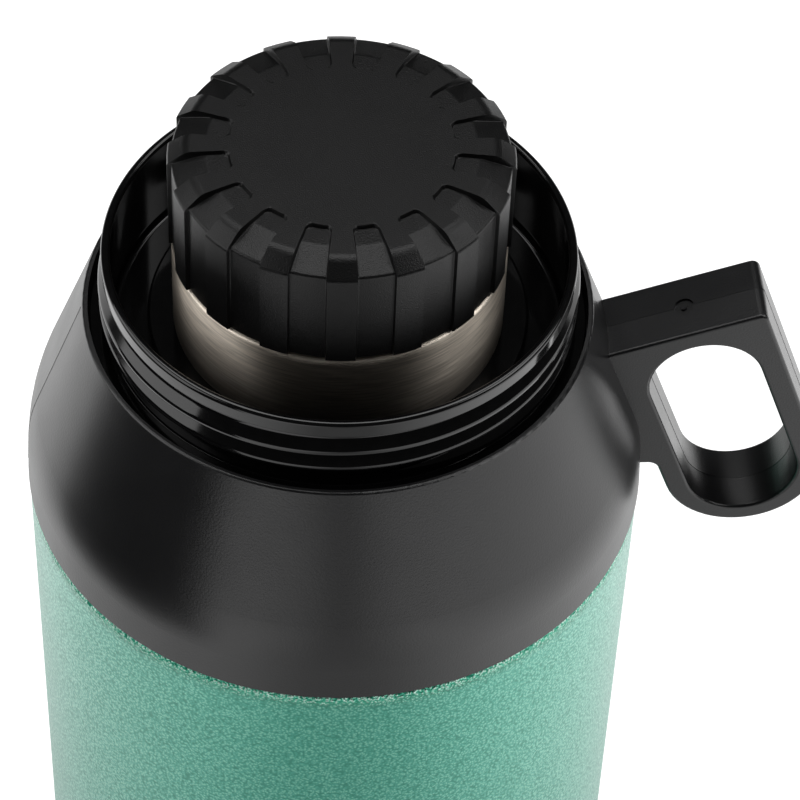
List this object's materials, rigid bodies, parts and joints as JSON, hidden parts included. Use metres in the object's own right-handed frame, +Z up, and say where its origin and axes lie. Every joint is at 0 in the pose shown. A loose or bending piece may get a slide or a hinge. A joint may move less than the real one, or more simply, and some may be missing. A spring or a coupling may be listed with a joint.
{
  "type": "vacuum flask",
  "caption": "Wide vacuum flask with a green steel body, black shoulder with a leaning finger loop, threaded collar and ribbed screw stopper that lifts out.",
  "frame": {"origin": "on the flask axis, in the plane the heel stands on", "axes": "+Z up along the axis, +X towards the handle"},
  "size_m": [0.1454, 0.1124, 0.264],
  "materials": {
    "green_coat": "hammertone",
    "brushed_steel": "brushed",
    "bare_steel": "satin",
    "satin_black": "satin",
    "gloss_black": "gloss",
    "knob_black": "matt, fine texture",
    "plug_grey": "satin",
    "silicone": "satin",
    "dark_rubber": "matt",
    "foam": "matt",
    "foil": "bright",
    "braze": "satin"
  },
  "bodies": {
    "flask": {"casing_body": "green_coat", "casing_dome": "brushed_steel", "casing_base": "green_coat", "vacuum_seal": "braze", "seal_cover": "green_coat", "inner_vessel": "brushed_steel", "vessel_bottom": "bare_steel", "reflective_foil": "foil", "getter_holder": "bare_steel", "getter_tablet": "bare_steel", "shoulder_housing": "satin_black", "cup_thread_collar": "gloss_black", "collar_washer": "dark_rubber", "retaining_ring": "gloss_black"},
    "stopper_lifter": {"stopper_gasket": "silicone"},
    "stopper": {"stopper_cap": "knob_black", "stopper_core": "plug_grey", "stopper_foam": "foam", "stopper_end_disc": "plug_grey"}
  },
  "joints": [
    {"name": "stopper_lift", "type": "slide", "parent": "flask", "child": "stopper_lifter", "axis": [0, 0, 1], "range_m": [0, 0.032]},
    {"name": "stopper_turn", "type": "hinge", "parent": "stopper_lifter", "child": "stopper", "pos_m": [0, 0, 0.2397], "axis": [0, 0, 1], "range_deg": [0, 1440]}
  ],
  "couplings": [
    {"joint": "stopper_lift", "follows": "stopper_turn", "m_per_rad": 0.0012732}
  ]
}
